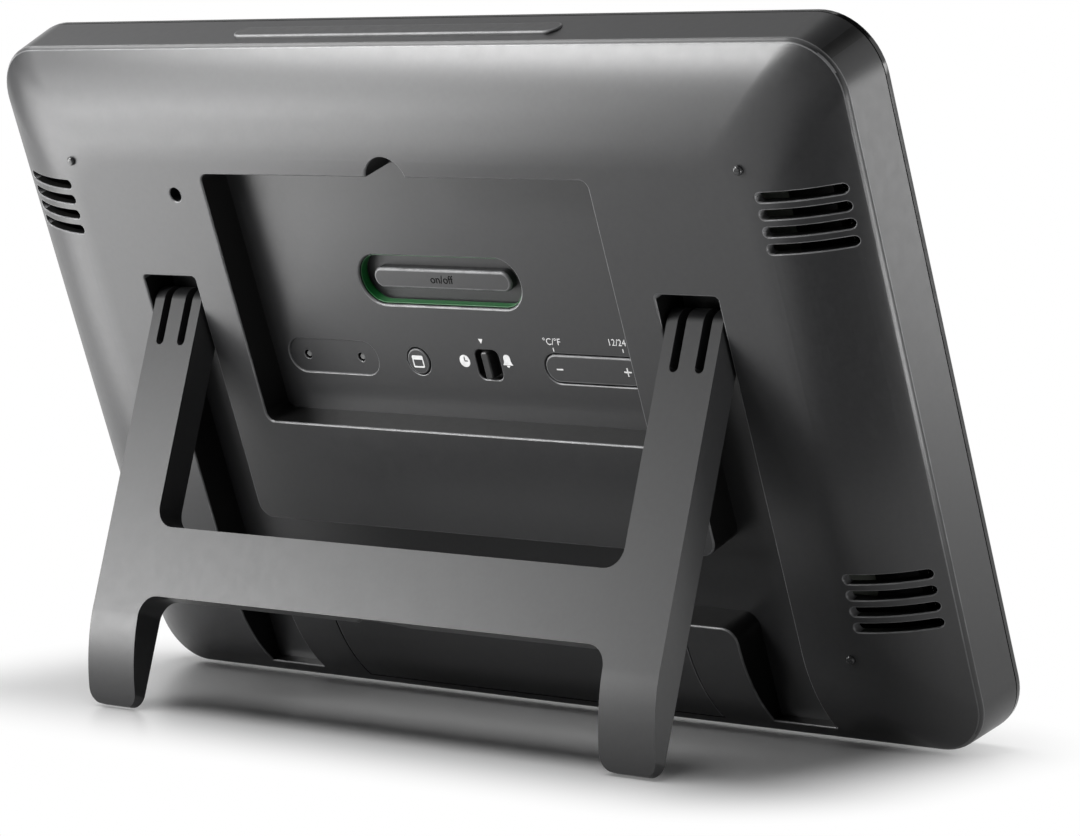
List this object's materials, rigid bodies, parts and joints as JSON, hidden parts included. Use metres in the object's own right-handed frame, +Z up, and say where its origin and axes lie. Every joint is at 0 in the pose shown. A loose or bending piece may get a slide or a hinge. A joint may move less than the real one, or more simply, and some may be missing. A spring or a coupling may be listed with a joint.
{
  "type": "digital wall and desk clock",
  "caption": "Large digital clock, back shown: domed rear cover with a control recess and fold-out H-shaped stand, thin front bezel, display and battery bay.",
  "frame": {"origin": "centre of the footprint on the ground, below the middle of the bounding box", "axes": "+X across the clock, -Y the way the display faces, +Z up; the case leans back on its stand"},
  "size_m": [0.23, 0.0748, 0.1473],
  "materials": {
    "shell": "satin moulded dark grey",
    "stand": "satin moulded dark grey",
    "key": "satin moulded dark grey",
    "black": "gloss black",
    "green": "gloss green",
    "lens": "clear, polished",
    "glass": "grey-green display",
    "white": "moulded white",
    "rubber": "matt",
    "board": "solder resist",
    "potting": "black",
    "metal": "nickel-plated",
    "cell": "plain dark jacket",
    "ferrite": "dull"
  },
  "bodies": {
    "housing": {"rear_cover": "shell", "front_bezel": "black", "display_lens": "lens", "display_glass": "glass", "display_tray": "white", "connector_strip": "rubber", "main_board": "board", "board_screw_1": "metal", "board_screw_2": "metal", "board_screw_3": "metal", "board_screw_4": "metal", "controller_chip": "potting", "temperature_sensor": "potting", "buzzer": "potting", "receiver_aerial": "ferrite", "alarm_liner": "green", "alarm_contacts": "metal", "key_mat_left": "rubber", "key_mat_right": "rubber", "snooze_board": "board", "snooze_switch": "black", "cell_upper_left": "cell", "cell_upper_right": "cell", "cell_lower_left": "cell", "cell_lower_right": "cell", "cell_spring_upper": "metal", "cell_spring_lower": "metal", "contact_link": "metal", "contact_minus": "metal", "contact_plus": "metal"},
    "stand_frame": {"stand": "stand"},
    "door": {"battery_door": "shell"},
    "snooze_key": {"snooze_bar": "key"},
    "alarm_key": {"alarm_button": "key"},
    "mode_switch": {"mode_slider": "black", "mode_wiper": "metal"},
    "set_key": {"round_key": "key"},
    "rocker_key": {"adjust_rocker": "key"},
    "reset_plunger": {"reset_pin": "white"},
    "sync_plunger": {"sync_pin": "white"}
  },
  "joints": [
    {"name": "stand_hinge", "type": "hinge", "parent": "housing", "child": "stand_frame", "pos_m": [0, 0.01269, 0.08582], "axis": [1, 0, 0], "range_deg": [-38, 0]},
    {"name": "battery_door_hinge", "type": "hinge", "parent": "housing", "child": "door", "pos_m": [0, -0.02114, 0.00195], "axis": [-1, 0, 0], "range_deg": [0, 45]},
    {"name": "snooze_press", "type": "slide", "parent": "housing", "child": "snooze_key", "axis": [0, -0.3505, -0.9366], "range_m": [0, 0.0008], "stiffness_N_per_m": 400, "springref_m": -0.0006},
    {"name": "alarm_press", "type": "slide", "parent": "housing", "child": "alarm_key", "axis": [0, -0.9366, 0.3505], "range_m": [0, 0.0006], "stiffness_N_per_m": 400, "springref_m": -0.0006},
    {"name": "set_press", "type": "slide", "parent": "housing", "child": "set_key", "axis": [0, -0.9366, 0.3505], "range_m": [0, 0.0006], "stiffness_N_per_m": 300, "springref_m": -0.0006},
    {"name": "adjust_rock", "type": "hinge", "parent": "housing", "child": "rocker_key", "pos_m": [-0.0361, 0.00211, 0.07611], "axis": [0, 0.3505, 0.9366], "range_deg": [-3, 3], "stiffness_Nm_per_rad": 0.02},
    {"name": "mode_slide", "type": "slide", "parent": "housing", "child": "mode_switch", "axis": [1, 0, 0], "range_m": [-0.0019, 0.0019]},
    {"name": "reset_press", "type": "slide", "parent": "housing", "child": "reset_plunger", "axis": [0, -0.9366, 0.3505], "range_m": [0, 0.0006], "stiffness_N_per_m": 100, "springref_m": -0.0006},
    {"name": "sync_press", "type": "slide", "parent": "housing", "child": "sync_plunger", "axis": [0, -0.9366, 0.3505], "range_m": [0, 0.0006], "stiffness_N_per_m": 100, "springref_m": -0.0006}
  ]
}
